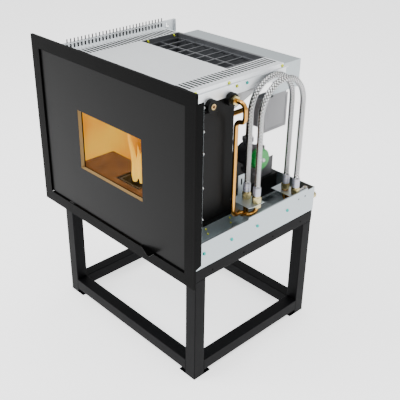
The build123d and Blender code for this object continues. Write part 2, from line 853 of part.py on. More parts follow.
def smoke_fan():
    """Scroll casing with rear flue spigot, inlet duct from the jacket, motor and feet."""
    x0 = fan_x - fan_width / 2
    x1 = fan_x + fan_width / 2
    w = fan_wall
    casing = rod((x0, fan_y, fan_z), (x1, fan_y, fan_z), fan_radius)
    flue_z = fan_z - fan_radius + flue_diameter / 2 - 6
    flue_r = flue_diameter / 2
    spigot = rod((fan_x, fan_y, flue_z), (fan_x, flue_end, flue_z), flue_r)
    bead = flue_end - flue_socket
    spigot += rod((fan_x, bead - 4, flue_z), (fan_x, bead, flue_z), flue_r + 4)
    duct = block(x1, smoke_x1 + plate, jacket_back_y, fan_y + duct_height / 2, smoke_z0 - w, smoke_z1 + w)
    foot = block(x0 + 8, x1 - 8, fan_y - 40, fan_y + 40, shelf_top, fan_z - fan_radius * 0.8)
    body = casing + spigot + duct + foot
    space = rod((x0 + w, fan_y, fan_z), (x1 - w, fan_y, fan_z), fan_radius - w)
    space += rod((fan_x, fan_y, flue_z), (fan_x, flue_end + 1, flue_z), flue_r - flue_wall)
    space &= block(x0 + w, x1 - w, 0, flue_start, 0, 2000) + block(-400, 400, flue_start, 2000, 0, 2000)
    space += rod((fan_x, flue_start - 1, flue_z), (fan_x, flue_end + 1, flue_z), flue_r - flue_wall)
    space += block(x1 + 1, smoke_x1, jacket_back_y - 1, fan_y + duct_height / 2 - w, smoke_z0, smoke_z1)
    space += rod((x1 - w - 1, fan_y, fan_z), (x1 + 2, fan_y, fan_z), 30)
    body -= space
    motor = rod((x0 - 62, fan_y, fan_z), (x0, fan_y, fan_z), 34)
    body += motor
    body -= rod((x0 - 40, fan_y, fan_z), (x0 + w + 1, fan_y, fan_z), fan_shaft + pin_clearance)
    add("smoke_fan", body)


def smoke_impeller():
    """Back plate, hub and curved blades on the motor shaft."""
    x0 = fan_x - fan_width / 2 + fan_wall + 4
    disc = rod((x0, 0, 0), (x0 + 2, 0, 0), impeller_radius)
    hub = rod((x0, 0, 0), (x0 + 18, 0, 0), 14)
    shaft = rod((x0 - 36, 0, 0), (x0 + 4, 0, 0), fan_shaft)
    wheel = disc + hub + shaft
    middle_r = (impeller_radius + 26) / 2
    bow = ThreePointArc((26, 0), (middle_r, 6), (impeller_radius - 1, -4))
    profile = make_face(offset(bow, 0.8, side=Side.BOTH))
    blade = Pos(x0 + 2, 0, 0) * (Plane.YZ * extrude(profile, impeller_width - 2))
    for i in range(fan_blades):
        wheel += Rot(360 / fan_blades * i, 0, 0) * blade
    add("smoke_impeller", Pos(0, fan_y, fan_z) * wheel)


def rear_cover():
    """The sheet cover behind the hopper, open below."""
    y0 = hopper_back + hopper_sheet
    y1 = y0 + cover_length
    low = cover_top - cover_height
    s = cover_sheet
    cover = block(-cover_half, cover_half, y0, y1, low, cover_top)
    cover -= block(-cover_half + s, cover_half - s, y0 - 1, y1 - s, low - 1, cover_top - s)
    add("rear_cover", cover)


def control_box():
    """The flanged electronics box hung inside the rear cover."""
    x1 = cover_half - cover_sheet
    y1 = box_from + box_length
    body = block(box_left, x1 - 3, box_from + box_flange, y1 - box_flange, box_low + box_flange, box_high - box_flange)
    rim = block(x1 - 3, x1, box_from, y1, box_low, box_high)
    rim -= block(x1 - 1.5, x1 + 1, box_from + box_flange, y1 - box_flange, box_low + box_flange, box_high - box_flange)
    hanger = block(x1 - 1.5, x1, box_from + 34, y1 - 10, box_high, cover_top - cover_height + 30)
    add("control_box", body + rim + hanger)


def equipment_shelf():
    """A folded black shelf over the rear of the carriage."""
    s = shelf_sheet
    y1 = shelf_from + shelf_length
    low = carriage_level + carriage_sheet
    shelf = block(shelf_left, shelf_right, shelf_from, y1, shelf_top - s, shelf_top)
    for x in (shelf_left, shelf_right - s):
        shelf += block(x, x + s, shelf_from, y1, low, shelf_top - s)
    shelf -= rod((pump_x, pump_y, shelf_top - 10), (pump_x, pump_y, shelf_top + 1), pump_pipe_radius + 2)
    y = hose_front_y
    shelf -= rod((shelf_right - 10, y, pump_feed_z), (shelf_right + 1, y, pump_feed_z), pump_pipe_radius + 2)
    add("equipment_shelf", shelf)


def pump():
    """Circulator: cast volute with ports and foot, square motor housing and round head."""
    y = pump_y
    z = pump_z
    x0 = pump_x - 22
    x1 = pump_x + 22
    body = rod((x0, y, z), (x1, y, z), pump_volute)
    low = z - pump_port / 2
    high = z + pump_port / 2
    body += rod((pump_x, y, low + 1), (pump_x, y, high - 1), 14)
    for z0 in (low, high - 16):
        body += nut(pump_x, y, z0, z0 + 16, 36)
    body -= rod((pump_x, y, low - 1), (pump_x, y, low + 10), pump_pipe_radius)
    body -= rod((pump_x, y, high - 10), (pump_x, y, high + 1), pump_pipe_radius)
    half = pump_housing / 2
    neck = pump_head_face - 26
    square = Pos(x1, y, z) * Rot(0, 90, 0) * extrude(RectangleRounded(pump_housing, pump_housing, 8), neck - x1)
    body += square
    plate_x = neck - 3
    body += block(plate_x - 2, plate_x, y + 20, y + 90, shelf_top, z - half + 20)
    body += block(plate_x - 34, plate_x - 2, y + 20, y + 90, shelf_top, shelf_top + 2)
    add("pump_body", body)
    head = rod((neck, y, z), (pump_head_face, y, z), pump_head_radius)
    rim = head.edges().filter_by(GeomType.CIRCLE).sort_by(Axis.X)[-1]
    head = chamfer(rim, 4)
    head += rod((pump_head_face - 1, y, z), (pump_head_face + 2, y, z), 11)
    for i in range(16):
        angle = 2 * math.pi * i / 16
        cy = y + pump_head_radius * math.cos(angle)
        cz = z + pump_head_radius * math.sin(angle)
        head -= rod((neck - 1, cy, cz), (pump_head_face + 1, cy, cz), 2.2)
    add("pump_head", head)


def pump_pipes():
    """Copper pipes of the pump: from the front hose plate, and up to the jacket."""
    x = hose_x
    y = hose_front_y
    z0 = hose_front_plate - plate_sheet - 14
    low = pump_z - pump_port / 2 + 10
    feed_points = [(x, y, z0), (x, y, pump_feed_z), (pump_x, y, pump_feed_z), (pump_x, pump_y, pump_feed_z)]
    feed_points.append((pump_x, pump_y, low))
    feed_pipe = bent_pipe(feed_points, pump_pipe_radius, 20)
    top = pump_z + pump_port / 2 - 10
    riser_points = [(pump_x, pump_y, top), (pump_x, pump_y, riser_z), (pump_x, jacket_back_y, riser_z)]
    riser = bent_pipe(riser_points, pump_pipe_radius, 30)
    add("pump_pipes", Part(children=[feed_pipe, riser]))


def jacket_pipe():
    """The copper pipe from the upper port round and down to the front hose plate."""
    start = body_half + port_length + 4
    out = start + 44
    down = start + 6
    y = port_y[1]
    x2 = hose_x + hose_spacing
    turn_z = port_z - 64
    low = hose_front_plate - plate_sheet - 32
    points = [
        (start, y, port_z),
        (out, y, port_z),
        (out, y + 2, turn_z),
        (down, y + 4, turn_z),
        (down, y + 4, low),
        (down, hose_front_y - 35, low),
        (x2, hose_front_y - 35, low),
        (x2, hose_front_y, low),
        (x2, hose_front_y, hose_front_plate - plate_sheet - 14),
    ]
    bends = [loop_bend, loop_bend, loop_bend, loop_bend, bend, bend, bend]
    add("jacket_pipe", bent_pipe(points, pipe_radius, bends))


def port_fittings():
    """The brass plug in the front port and the pipe nut in the rear one."""
    face = body_half + port_length
    y, z = port_y[0], port_z
    plug = ring_x(face - 8, face + 1.5, y, z, 9, 4)
    plug += rod((face - 8, y, z), (face - 2, y, z), 4)
    y = port_y[1]
    hexagon = Plane(origin=(face, y, z), z_dir=(1, 0, 0)) * RegularPolygon(13, 6, major_radius=False)
    nut_body = extrude(hexagon, 12) + rod((face - 8, y, z), (face, y, z), 9)
    nut_body -= rod((face + 4, y, z), (face + 13, y, z), pipe_radius)
    add("port_fittings", Part(children=[plug, nut_body]))


def hose_plate_front():
    """The bracket on the carriage that holds the moving ends of the hoses."""
    s = plate_sheet
    z = hose_front_plate
    x0 = hose_x - 31
    x1 = hose_x + hose_spacing + 15
    y0 = hose_front_y - 47
    y1 = hose_front_y + 22
    shelf = sheet_xy([(x0, y0), (x1 - 6, y0), (x1, y0 + 12), (x1, y1), (x0, y1)], z - s, z)
    for x in (hose_x, hose_x + hose_spacing):
        shelf -= rod((x, hose_front_y, z - 5), (x, hose_front_y, z + 1), 8)
    upright = block(x0, x0 + s, y0 + 6, y1, carriage_level + carriage_sheet, z - s)
    upright += block(x0, x0 + s, y1 - 32, y1, z, z + 72)
    upright -= block(x0 - 1, x0 + s + 1, y1 - 20, y1 - 12, z + 34, z + 58)
    upright -= rod((x0 - 1, hose_front_y, pump_feed_z), (x0 + s + 1, hose_front_y, pump_feed_z), pump_pipe_radius + 1)
    foot = block(x0 + s, x0 + s + 14, y0 + 6, y1, carriage_level + carriage_sheet, carriage_level + carriage_sheet + s)
    add("hose_plate_front", shelf + upright + foot)


def hose_plate_rear():
    """The bracket fixed in the tray that holds the still ends of the hoses."""
    s = plate_sheet
    z = hose_rear_plate
    x0 = hose_x - 40
    y0 = hose_rear_y - 28
    y1 = hose_rear_y + 29
    shelf = block(x0, tray_inner, y0, y1, z - s, z)
    for x in (hose_x, hose_x + hose_spacing):
        shelf -= rod((x, hose_rear_y, z - 5), (x, hose_rear_y, z + 1), 8)
    side = block(tray_inner - s, tray_inner, y0, y1 + 20, z - 25, z - s)
    for y in (hose_rear_y - 1, hose_rear_y + 34):
        side -= rod((tray_inner - 5, y, z - 14), (tray_inner + 1, y, z - 14), 2.5)
    add("hose_plate_rear", shelf + side)


def union(x, y, plate_top, nut_height, ferrule_top, ring):
    """A hose end: washer ring, nut and crimped ferrule on the plate, lock nut below."""
    s = plate_sheet
    z = plate_top
    body = rod((x, y, z - s - 14), (x, y, ferrule_top - 20), 7.5)
    body += nut(x, y, z - s - 14, z - s)
    if ring:
        body += rod((x, y, z), (x, y, z + ring), 12.5)
    body += nut(x, y, z + ring, z + ring + nut_height)
    body += rod((x, y, z + ring + nut_height), (x, y, ferrule_top), ferrule_radius)
    return body


def hose_x_places():
    return (hose_x, hose_x + hose_spacing)


def unions():
    """The four hose ends, two on each plate."""
    rear = [union(x, hose_rear_y, hose_rear_plate, 18, rear_hose_start, 6) for x in hose_x_places()]
    add("rear_unions", Part(children=rear))
    front = [union(x, hose_front_y, hose_front_plate, 22, front_hose_start, 0) for x in hose_x_places()]
    add("front_unions", Part(children=front))


def hose_points(x):
    """The route of one hose: straight legs and an even arch in four turns."""
    radius = (hose_rear_y - hose_front_y) / 2
    y_mid = (hose_rear_y + hose_front_y) / 2
    short = radius * math.tan(math.radians(22.5))
    return [
        (x, hose_front_y, front_hose_start),
        (x, hose_front_y, hose_rise + short),
        (x, y_mid - short, hose_rise + radius),
        (x, y_mid + short, hose_rise + radius),
        (x, hose_rear_y, hose_rise + short),
        (x, hose_rear_y, rear_hose_start),
    ]


def hoses():
    """Two braided hoses held at both ends, each with room for the body to slide out."""
    radius = (hose_rear_y - hose_front_y) / 2 * 0.98
    for name, x in zip(("hose_flow", "hose_return"), hose_x_places()):
        points = hose_points(x)
        tube_shape = bent_pipe(points, hose_radius, radius)
        path = FilletPolyline(*points, radius=radius)
        print(name, "length", round(path.length, 1), "bend radius", round(radius, 1))
        print("  volume", round(tube_shape.volume), "of", round(math.pi * hose_radius**2 * path.length))
        add(name, tube_shape)


def system_pipes():
    """Copper connections from the rear hose ends out through the tray's rear wall."""
    z0 = hose_rear_plate - plate_sheet - 14
    x1, x2 = hose_x_places()
    first = bent_pipe([(x1, hose_rear_y, z0), (x1, hose_rear_y, pipe_level), (x1, pipe_end, pipe_level)], pump_pipe_radius, 20)
    second = bent_pipe([(x2, hose_rear_y, z0), (x2, hose_rear_y, pipe_level), (x2, valve_y - 18, pipe_level)], pump_pipe_radius, 20)
    collar = ring_y(x1, pipe_level, pipe_end - 16, pipe_end, 13, pump_pipe_radius)
    add("system_pipes", Part(children=[first + collar, second]))


def ring_y(x, z, y0, y1, outer, inner):
    """A tube along Y."""
    return rod((x, y0, z), (x, y1, z), outer) - rod((x, y0, z), (x, y1, z), inner)


def drain_valve():
    """Brass drain valve in the second connection, with its stem and lever."""
    x = hose_x + hose_spacing
    z = pipe_level
    body = rod((x, valve_y - 18, z), (x, valve_y + 18, z), 13)
    body += rod((x, valve_y + 18, z), (x, pipe_end, z), pump_pipe_radius)
    body += rod((x, pipe_end - 16, z), (x, pipe_end, z), 13)
    body += rod((x, valve_y, z), (x, valve_y, lever_z), 9)
    body += rod((x, valve_y, lever_z), (x, valve_y, lever_z + 6), 3)
    add("drain_valve", body)
    arm = rod((x, valve_y, lever_z + 0.3), (x, valve_y, lever_z + 4.3), 8)
    arm += block(x - 4, x + 4, valve_y - 34, valve_y, lever_z + 0.3, lever_z + 3.3)
    arm -= rod((x, valve_y, lever_z - 1), (x, valve_y, lever_z + 7), 3 + pin_clearance)
    add("drain_lever", arm)


# Places shared by several pieces
plate_sheet = 1.5
web_outer = tray_inner - rail_width - 0.8
pipe_level = 484
valve_y = 596
lever_z = 528
pump_feed_z = 498
riser_z = 800
motor_socket = 26
rear_hose_start = 585
front_hose_start = 621
flue_start = 480
smoke_x0 = -140
smoke_x1 = -96
smoke_z0 = fan_z - duct_height / 2
smoke_z1 = fan_z + duct_height / 2
pin_radius = pin_diameter / 2
rim_low = door_low + door_gap
rim_high = door_high - door_gap
hinge_x = -door_half + 8
hinge_y = door_recess + hinge_back
lever_low = opening_low + 1.6


def main():
    os.makedirs("parts", exist_ok=True)
    makers = (
        stand,
        tray,
        rails,
        carriage,
        jacket_feet,
        surround,
        front_plate,
        door,
        latch_lever,
        jacket,
        firebox_base,
        burn_pot,
        firebox_liner,
        deck,
        side_panel_right,
        side_panel_left,
        hopper,
        hopper_grid,
        feed,
        smoke_fan,
        smoke_impeller,
        rear_cover,
        control_box,
        equipment_shelf,
        pump,
        pump_pipes,
        jacket_pipe,
        port_fittings,
        hose_plate_front,
        hose_plate_rear,
        unions,
        hoses,
        system_pipes,
        drain_valve,
    )
    for make in makers:
        make()
    for name, shape in nodes.items():
        export_step(shape, f"parts/{name}.step")
    print(len(nodes), "nodes")


main()
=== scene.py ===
import json
import math

import bmesh
import bpy
from mathutils import Matrix, Vector


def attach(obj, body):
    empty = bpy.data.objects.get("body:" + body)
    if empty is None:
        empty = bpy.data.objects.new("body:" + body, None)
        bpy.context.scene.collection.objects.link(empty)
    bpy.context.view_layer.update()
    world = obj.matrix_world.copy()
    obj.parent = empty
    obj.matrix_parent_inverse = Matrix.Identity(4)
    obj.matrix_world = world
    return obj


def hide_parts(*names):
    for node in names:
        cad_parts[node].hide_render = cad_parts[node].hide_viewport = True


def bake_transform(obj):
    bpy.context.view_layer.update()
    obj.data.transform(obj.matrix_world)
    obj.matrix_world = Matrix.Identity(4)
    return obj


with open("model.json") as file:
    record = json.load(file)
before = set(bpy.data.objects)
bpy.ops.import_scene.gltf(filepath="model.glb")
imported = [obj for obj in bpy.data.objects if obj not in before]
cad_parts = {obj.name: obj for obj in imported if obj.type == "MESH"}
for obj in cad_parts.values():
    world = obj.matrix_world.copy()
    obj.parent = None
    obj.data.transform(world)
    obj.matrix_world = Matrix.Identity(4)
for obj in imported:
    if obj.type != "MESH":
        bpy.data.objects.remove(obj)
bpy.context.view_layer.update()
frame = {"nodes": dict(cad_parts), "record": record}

# Places are written as in the part's drawing: millimetres, X right, Y back from
# the surround's front face, Z up from the floor. MIDDLE moves Y to the part's frame.
MM = 0.001
MIDDLE = 314

# Camera, solved from the photograph
CAMERA_AT = (1614.5, -1171.8, 1655.9)
CAMERA_YAW = math.radians(-47.459)
CAMERA_PITCH = math.radians(-27.444)
LENS = 62.134
SENSOR = 36
SHIFT = (0.05099, -0.04197)

# Faces and lines that the added pieces sit on
SIDE_FACE = 356
DECK_EDGE = 286
BODY_SIDE = 281
HOPPER_WALL = -206
HOSE_FRONT = 339
HOSE_REAR = 541

# Hoses
HOSE_X = {"hose_flow": 293, "hose_return": 337}
HOSE_RADIUS = 9.5
HOSE_ROUTE = (
    (HOSE_FRONT, 621),
    (HOSE_FRONT, 820),
    (HOSE_FRONT, 904),
    (398, 963.5),
    (482, 963.5),
    (HOSE_REAR, 904),
    (HOSE_REAR, 820),
    (HOSE_REAR, 585),
)
HOSE_SIDES = 24
HOSE_RINGS = 300
WIRE_WIDTH = 1.5
FERRULE_RADIUS = 12.9
RING_RADIUS = 13.4

# Screws, rivets and small holes
TRAY_SCREW_LEVEL = 490
TRAY_SCREWS = (85, 207, 329, 481)
DECK_SCREW_LEVEL = 982.7
DECK_SCREWS = (108, 245, 486)
PANEL_SCREW_LEVEL = 962
PANEL_SCREWS = {"yellow": 285, "teal": 330}
FOOT_SCREWS = ((165, 510), (175, 489), (276, 510), (281, 489))
HOPPER_SCREW_LEVEL = 983.5
HOPPER_SCREWS = (350, 472)
COVER_BACK = 630
COVER_SCREWS = [(x, z) for x in (-225, 0, 225) for z in (885, 955)]
RIVET_LINE = (394, 33)
RIVET_LEVELS = (990, 921, 855, 749, 647)
CONTROL_BOX_SIDE = 182
CONTROL_BOX_SCREWS = [(y, z) for y in (484, 559) for z in (762, 845)]
PUMP_VENT = (224, 495, 628)
SCREW_SIDES = 20
STAND_HOLES = [(y, 414) for y in (124, 268, 413, 560)]
TRAY_HOLES = [(y, 511) for y in (540, 575)]
HOLE_RADIUS = 3
HOLE_SIDES = 24
HOOK_LEVELS = (850, 730, 669)

# Plug of the front port
PORT = (172, 929)
PLUG_FACE = 294.2
PLUG_BORE = 3.9
WASHER_FACE = 297.6
WASHER_BORE = 4.3
WASHER_RADIUS = 7.6
WASHER_THICK = 0.8

# Deck slots, and painted shade for them: a dark sheet under the deck and a dark rib filling each slot
SLOT_FIRST = 66.3
SLOT_PITCH = 14.8
SLOT_COUNT = 29
SLOT_LENGTH = 51
SLOT_HALF = 4
SLOT_SIDES = (212, -263)
SHADE_SIDES = (209.5, -266)
SHADE_WIDTH = 56.5
SHADE_ENDS = (60, 488)
SHADE_LEVEL = 986
SLOT_SHADE_TOP = 990.62

# Door: the rope seal behind the window, and the bright edge of the latch lever
SEAL_HALF = 183
SEAL_LEVELS = (601, 853)
SEAL_CORNER = 12
SEAL_BACK = 22
SEAL_RADIUS = 4
LEVER_LEVEL = 459.6
LEVER_OUTLINE = ((160, 6), (211, -20.8), (216.4, -17.4), (217.4, 1), (211, 9))

# Fire: the glow on the chamber walls, and the flames over the burn pot. A flame is
# given by its foot (X, Y), height, radius, lean and sway.
GLOW_HALF = 240
GLOW_DEEP = 214
GLOW_FRONT = 44
GLOW_LEVELS = (564, 640, 720, 800, 878)
GLOW_CORNER = 40
FLAMES = (
    (-26, 128, 190, 9, -24, 7),
    (-10, 134, 120, 8, -4, 4),
    (8, 126, 150, 8, 14, 6),
    (30, 136, 205, 8, 4, 8),
    (20, 118, 70, 9, 8, 3),
    (-2, 112, 60, 10, -4, 2),
)
FLAME_FOOT = 596
FLAME_SIDES = 16
FLAME_RINGS = 16
POT_HALF = 60
POT_DEEP = 132


def at(x, y, z):
    """A drawing place in the part's frame, in metres."""
    return Vector((x * MM, (y - MIDDLE) * MM, z * MM))


def add_piece(name, shape, body, finish, smooth=True):
    """Turn a bmesh into a piece that rides on a body."""
    bmesh.ops.recalc_face_normals(shape, faces=shape.faces)
    mesh = bpy.data.meshes.new(name)
    shape.to_mesh(mesh)
    shape.free()
    for face in mesh.polygons:
        face.use_smooth = smooth
    piece = bpy.data.objects.new(name, mesh)
    bpy.context.scene.collection.objects.link(piece)
    piece.data.materials.append(finish)
    if smooth:
        mesh.set_sharp_from_angle(angle=math.radians(35))
    if body:
        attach(piece, body)
    return piece


# Node groups shared by the finishes


def make_group(name, inputs, outputs):
    """An empty shader group with named value inputs and outputs."""
    group = bpy.data.node_groups.new(name, "ShaderNodeTree")
    for label, kind, value in inputs:
        socket = group.interface.new_socket(label, in_out="INPUT", socket_type=kind)
        socket.default_value = value
    for label, kind in outputs:
        group.interface.new_socket(label, in_out="OUTPUT", socket_type=kind)
    entry = group.nodes.new("NodeGroupInput")
    leave = group.nodes.new("NodeGroupOutput")
    return group, entry, leave


def link(tree, source, target):
    tree.links.new(source, target)


def math_node(tree, operation, first, second):
    """A maths node fed by sockets or numbers."""
    node = tree.nodes.new("ShaderNodeMath")
    node.operation = operation
    for i, value in enumerate((first, second)):
        if isinstance(value, (int, float)):
            node.inputs[i].default_value = value
        else:
            link(tree, value, node.inputs[i])
    return node.outputs[0]


def shade_colour(tree, colour, factor):
    """A colour made lighter or darker by a value round 1."""
    node = tree.nodes.new("ShaderNodeMix")
    node.data_type = "RGBA"
    node.blend_type = "MULTIPLY"
    node.inputs["Factor"].default_value = 1
    link(tree, colour, node.inputs[6])
    link(tree, factor, node.inputs[7])
    return node.outputs[2]


def make_surface_group():
    """Uneven tone, uneven gloss and a fine relief, for coats, castings and plastics."""
    group, entry, leave = make_group(
        "surface_unevenness",
        (
            ("Colour", "NodeSocketColor", (0.5, 0.5, 0.5, 1)),
            ("Tone Spread", "NodeSocketFloat", 0.1),
            ("Gloss", "NodeSocketFloat", 0.4),
            ("Gloss Spread", "NodeSocketFloat", 0.1),
            ("Patch Scale", "NodeSocketFloat", 12),
            ("Grain Scale", "NodeSocketFloat", 900),
        ),
        (("Colour", "NodeSocketColor"), ("Roughness", "NodeSocketFloat"), ("Height", "NodeSocketFloat")),
    )
    coordinates = group.nodes.new("ShaderNodeTexCoord")
    patches = group.nodes.new("ShaderNodeTexNoise")
    patches.inputs["Detail"].default_value = 5
    link(group, coordinates.outputs["Object"], patches.inputs["Vector"])
    link(group, entry.outputs["Patch Scale"], patches.inputs["Scale"])
    grain = group.nodes.new("ShaderNodeTexNoise")
    grain.inputs["Detail"].default_value = 3
    link(group, coordinates.outputs["Object"], grain.inputs["Vector"])
    link(group, entry.outputs["Grain Scale"], grain.inputs["Scale"])
    centred = math_node(group, "SUBTRACT", patches.outputs["Fac"], 0.5)
    speck = math_node(group, "SUBTRACT", grain.outputs["Fac"], 0.5)
    both = math_node(group, "ADD", centred, math_node(group, "MULTIPLY", speck, 0.5))
    tone = math_node(group, "ADD", math_node(group, "MULTIPLY", both, entry.outputs["Tone Spread"]), 1)
    link(group, shade_colour(group, entry.outputs["Colour"], tone), leave.inputs["Colour"])
    gloss = math_node(group, "MULTIPLY", centred, entry.outputs["Gloss Spread"])
    link(group, math_node(group, "ADD", gloss, entry.outputs["Gloss"]), leave.inputs["Roughness"])
    link(group, grain.outputs["Fac"], leave.inputs["Height"])
    return group


def make_spangle_group():
    """The crystal pattern of galvanised sheet."""
    group, entry, leave = make_group(
        "zinc_spangle",
        (
            ("Colour", "NodeSocketColor", (0.7, 0.7, 0.7, 1)),
            ("Contrast", "NodeSocketFloat", 0.2),
            ("Crystal Scale", "NodeSocketFloat", 160),
            ("Gloss", "NodeSocketFloat", 0.35),
        ),
        (("Colour", "NodeSocketColor"), ("Roughness", "NodeSocketFloat"), ("Height", "NodeSocketFloat")),
    )
    coordinates = group.nodes.new("ShaderNodeTexCoord")
    crystals = group.nodes.new("ShaderNodeTexVoronoi")
    link(group, coordinates.outputs["Object"], crystals.inputs["Vector"])
    link(group, entry.outputs["Crystal Scale"], crystals.inputs["Scale"])
    grey = group.nodes.new("ShaderNodeRGBToBW")
    link(group, crystals.outputs["Color"], grey.inputs[0])
    clouds = group.nodes.new("ShaderNodeTexNoise")
    clouds.inputs["Scale"].default_value = 7
    link(group, coordinates.outputs["Object"], clouds.inputs["Vector"])
    centred = math_node(group, "SUBTRACT", grey.outputs[0], 0.5)
    drift = math_node(group, "SUBTRACT", clouds.outputs["Fac"], 0.5)
    both = math_node(group, "ADD", centred, drift)
    scaled = math_node(group, "MULTIPLY", both, entry.outputs["Contrast"])
    tone = math_node(group, "ADD", scaled, 1)
    link(group, shade_colour(group, entry.outputs["Colour"], tone), leave.inputs["Colour"])
    link(group, math_node(group, "ADD", scaled, entry.outputs["Gloss"]), leave.inputs["Roughness"])
    link(group, grey.outputs[0], leave.inputs["Height"])
    return group


def make_drawn_group():
    """Fine lines along one direction, for drawn pipe and turned brass."""
    group, entry, leave = make_group(
        "drawn_lines",
        (
            ("Colour", "NodeSocketColor", (0.7, 0.5, 0.3, 1)),
            ("Contrast", "NodeSocketFloat", 0.2),
            ("Stretch", "NodeSocketVector", (400, 400, 12)),
            ("Gloss", "NodeSocketFloat", 0.25),
        ),
        (("Colour", "NodeSocketColor"), ("Roughness", "NodeSocketFloat"), ("Height", "NodeSocketFloat")),
    )
    coordinates = group.nodes.new("ShaderNodeTexCoord")
    stretch = group.nodes.new("ShaderNodeVectorMath")
    stretch.operation = "MULTIPLY"
    link(group, coordinates.outputs["Object"], stretch.inputs[0])
    link(group, entry.outputs["Stretch"], stretch.inputs[1])
    lines = group.nodes.new("ShaderNodeTexNoise")
    lines.inputs["Scale"].default_value = 1
    lines.inputs["Detail"].default_value = 4
    link(group, stretch.outputs[0], lines.inputs["Vector"])
    centred = math_node(group, "SUBTRACT", lines.outputs["Fac"], 0.5)
    scaled = math_node(group, "MULTIPLY", centred, entry.outputs["Contrast"])
    tone = math_node(group, "ADD", scaled, 1)
    link(group, shade_colour(group, entry.outputs["Colour"], tone), leave.inputs["Colour"])
    link(group, math_node(group, "ADD", scaled, entry.outputs["Gloss"]), leave.inputs["Roughness"])
    link(group, lines.outputs["Fac"], leave.inputs["Height"])
    return group


# Finishes


def colour_ramp(tree, stops, source):
    """A colour ramp with the given stops, driven by a value."""
    ramp = tree.nodes.new("ShaderNodeValToRGB")
    elements = ramp.color_ramp.elements
    while len(elements) < len(stops):
        elements.new(0.5)
    for element, (place, colour) in zip(elements, stops):
        element.position = place
        element.color = (*colour, 1)
    link(tree, source, ramp.inputs[0])
    return ramp.outputs[0]


def start_material(name):
    material = bpy.data.materials.new(name)
    material.use_nodes = True
    return material, material.node_tree, material.node_tree.nodes["Principled BSDF"]


def grouped_material(name, group, values, metallic, relief, shine=0.5):
    """A finish whose tone, gloss and relief come from one of the shared groups."""
    material, tree, shader = start_material(name)
    effect = tree.nodes.new("ShaderNodeGroup")
    effect.node_tree = group
    for label, value in values.items():
        effect.inputs[label].default_value = (*value, 1) if label == "Colour" else value
    link(tree, effect.outputs["Colour"], shader.inputs["Base Color"])
    link(tree, effect.outputs["Roughness"], shader.inputs["Roughness"])
    bump = tree.nodes.new("ShaderNodeBump")
    bump.inputs["Strength"].default_value = relief
    bump.inputs["Distance"].default_value = 0.0004
    link(tree, effect.outputs["Height"], bump.inputs["Height"])
    link(tree, bump.outputs[0], shader.inputs["Normal"])
    shader.inputs["Metallic"].default_value = metallic
    shader.inputs["Specular IOR Level"].default_value = shine
    return material


def make_glass():
    """Clear, faintly amber glass with a trace of soot."""
    material, tree, shader = start_material("window_glass")
    shader.inputs["Base Color"].default_value = (1, 0.92, 0.76, 1)
    shader.inputs["Transmission Weight"].default_value = 1
    shader.inputs["IOR"].default_value = 1.04
    smudges = tree.nodes.new("ShaderNodeTexNoise")
    coordinates = tree.nodes.new("ShaderNodeTexCoord")
    link(tree, coordinates.outputs["Object"], smudges.inputs["Vector"])
    smudges.inputs["Scale"].default_value = 14
    link(tree, math_node(tree, "MULTIPLY", smudges.outputs["Fac"], 0.07), shader.inputs["Roughness"])
    return material


def make_braid():
    """Stainless wire braid that follows the hose's own UV map, in wire widths, with painted shade
    between the wires.
    """
    material, tree, shader = start_material("steel_braid")
    uv = tree.nodes.new("ShaderNodeUVMap")
    uv.uv_map = "braid"
    heights = []
    for turn in (-1, 1):
        turned = tree.nodes.new("ShaderNodeMapping")
        turned.inputs["Rotation"].default_value = (0, 0, math.radians(50) * turn)
        link(tree, uv.outputs[0], turned.inputs["Vector"])
        wires = tree.nodes.new("ShaderNodeTexWave")
        wires.inputs["Scale"].default_value = 0.058
        wires.inputs["Distortion"].default_value = 0.4
        link(tree, turned.outputs[0], wires.inputs["Vector"])
        heights.append(wires.outputs["Fac"])
    over = math_node(tree, "MULTIPLY", heights[0], heights[1])
    # Where the weave is low, between the wires, the colour drops to near-black as painted shade.
    stops = ((0.06, (0.012, 0.011, 0.01)), (0.32, (0.9, 0.9, 0.91)))
    link(tree, colour_ramp(tree, stops, over), shader.inputs["Base Color"])
    bump = tree.nodes.new("ShaderNodeBump")
    bump.inputs["Strength"].default_value = 0.7
    bump.inputs["Distance"].default_value = 0.0015
    link(tree, over, bump.inputs["Height"])
    link(tree, bump.outputs[0], shader.inputs["Normal"])
    shader.inputs["Metallic"].default_value = 1
    shader.inputs["Roughness"].default_value = 0.17
    return material


def make_glow():
    """Firelight on the chamber walls: amber on the left, browner to the right and low down."""
    material, tree, shader = start_material("fire_glow")
    coordinates = tree.nodes.new("ShaderNodeTexCoord")
    axes = tree.nodes.new("ShaderNodeSeparateXYZ")
    link(tree, coordinates.outputs["Object"], axes.inputs[0])
    licks = tree.nodes.new("ShaderNodeTexNoise")
    licks.inputs["Scale"].default_value = 6
    link(tree, coordinates.outputs["Object"], licks.inputs["Vector"])
    across = math_node(tree, "MULTIPLY", axes.outputs[0], -1.9)
    up = math_node(tree, "MULTIPLY", math_node(tree, "SUBTRACT", axes.outputs[2], 0.6), 1.3)
    stir = math_node(tree, "MULTIPLY", math_node(tree, "SUBTRACT", licks.outputs["Fac"], 0.5), 1.5)
    heat = math_node(tree, "ADD", math_node(tree, "ADD", across, up), math_node(tree, "ADD", stir, 0.2))
    stops = (
        (0.0, (0.1, 0.03, 0.01)),
        (0.3, (0.36, 0.1, 0.012)),
        (0.55, (0.85, 0.32, 0.015)),
        (1.0, (1, 0.56, 0.05)),
    )
    tone = colour_ramp(tree, stops, heat)
    link(tree, tone, shader.inputs["Emission Color"])
    shader.inputs["Base Color"].default_value = (0.05, 0.02, 0.005, 1)
    shader.inputs["Roughness"].default_value = 0.9
    shader.inputs["Specular IOR Level"].default_value = 0
    shader.inputs["Emission Strength"].default_value = 1
    return material


